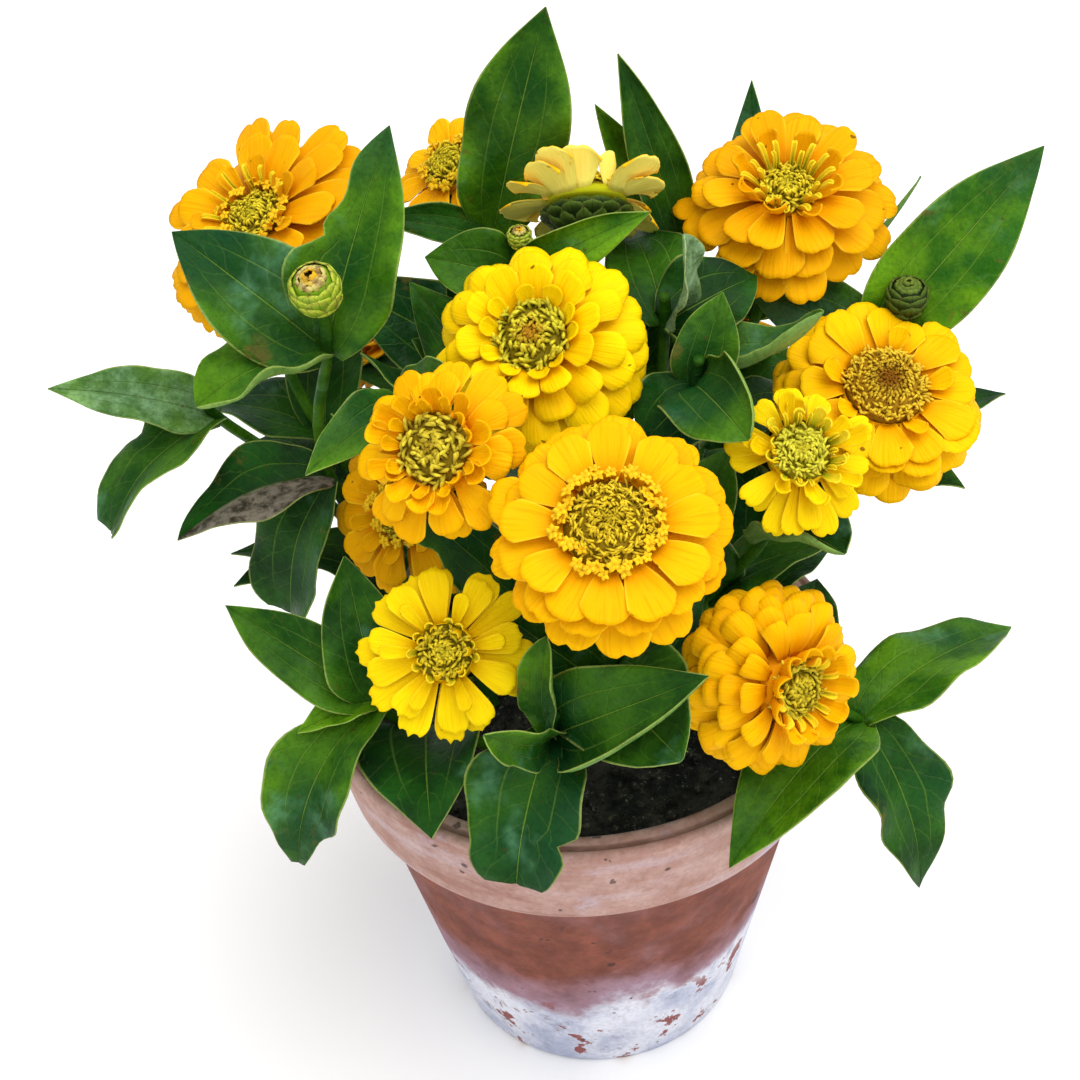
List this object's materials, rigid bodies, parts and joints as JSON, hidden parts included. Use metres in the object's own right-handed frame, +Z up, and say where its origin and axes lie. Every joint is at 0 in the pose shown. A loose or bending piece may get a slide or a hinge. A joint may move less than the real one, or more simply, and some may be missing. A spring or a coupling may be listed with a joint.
{
  "type": "potted zinnia",
  "caption": "Bushy zinnia with golden double blooms, buds and broad pointed leaves, planted in a weathered clay pot with a tall collar.",
  "frame": {"origin": "centre of the pot's underside", "axes": "+Z up, -Y towards the picture's camera, +X to that camera's right"},
  "size_m": [0.277, 0.2049, 0.3142],
  "materials": {
    "terracotta": "unglazed clay, weathered, with white lime bloom",
    "soil": "dark crumbly potting soil",
    "leaf": "soft satin leaf with pale veins",
    "petal_gold": "matte golden petals",
    "petal_yellow": "matte bright yellow petals",
    "petal_lemon": "matte lemon petals",
    "disc": "olive and brown disc florets",
    "bud_tip": "young yellow-green petals"
  },
  "bodies": {
    "root": {"bud_tip_13": "bud_tip", "bud_tip_14": "bud_tip", "bud_tip_15": "bud_tip", "bud_tip_23": "bud_tip", "disc_01": "disc", "disc_02": "disc", "disc_03": "disc", "disc_04": "disc", "disc_05": "disc", "disc_06": "disc", "disc_07": "disc", "disc_08": "disc", "disc_09": "disc", "disc_10": "disc", "disc_11": "disc", "disc_12": "disc", "disc_21": "disc", "disc_22": "disc", "leafy_stem_01": "leaf", "leafy_stem_02": "leaf", "leafy_stem_03": "leaf", "leafy_stem_04": "leaf", "leafy_stem_05": "leaf", "leafy_stem_06": "leaf", "leafy_stem_07": "leaf", "leafy_stem_08": "leaf", "leafy_stem_09": "leaf", "leafy_stem_10": "leaf", "leafy_stem_11": "leaf", "leafy_stem_12": "leaf", "leafy_stem_13": "leaf", "leafy_stem_14": "leaf", "leafy_stem_15": "leaf", "leafy_stem_16": "leaf", "leafy_stem_17": "leaf", "leafy_stem_18": "leaf", "leafy_stem_19": "leaf", "leafy_stem_20": "leaf", "leafy_stem_21": "leaf", "leafy_stem_22": "leaf", "leafy_stem_23": "leaf", "leafy_stem_24": "leaf", "leafy_stem_25": "leaf", "petals_01": "petal_gold", "petals_02": "petal_gold", "petals_03": "petal_yellow", "petals_04": "petal_gold", "petals_05": "petal_yellow", "petals_06": "petal_gold", "petals_07": "petal_lemon", "petals_08": "petal_gold", "petals_09": "petal_gold", "petals_10": "petal_gold", "petals_11": "petal_lemon", "petals_12": "petal_gold", "petals_21": "petal_gold", "petals_22": "petal_gold", "pot": "terracotta", "soil": "soil"}
  },
  "joints": []
}
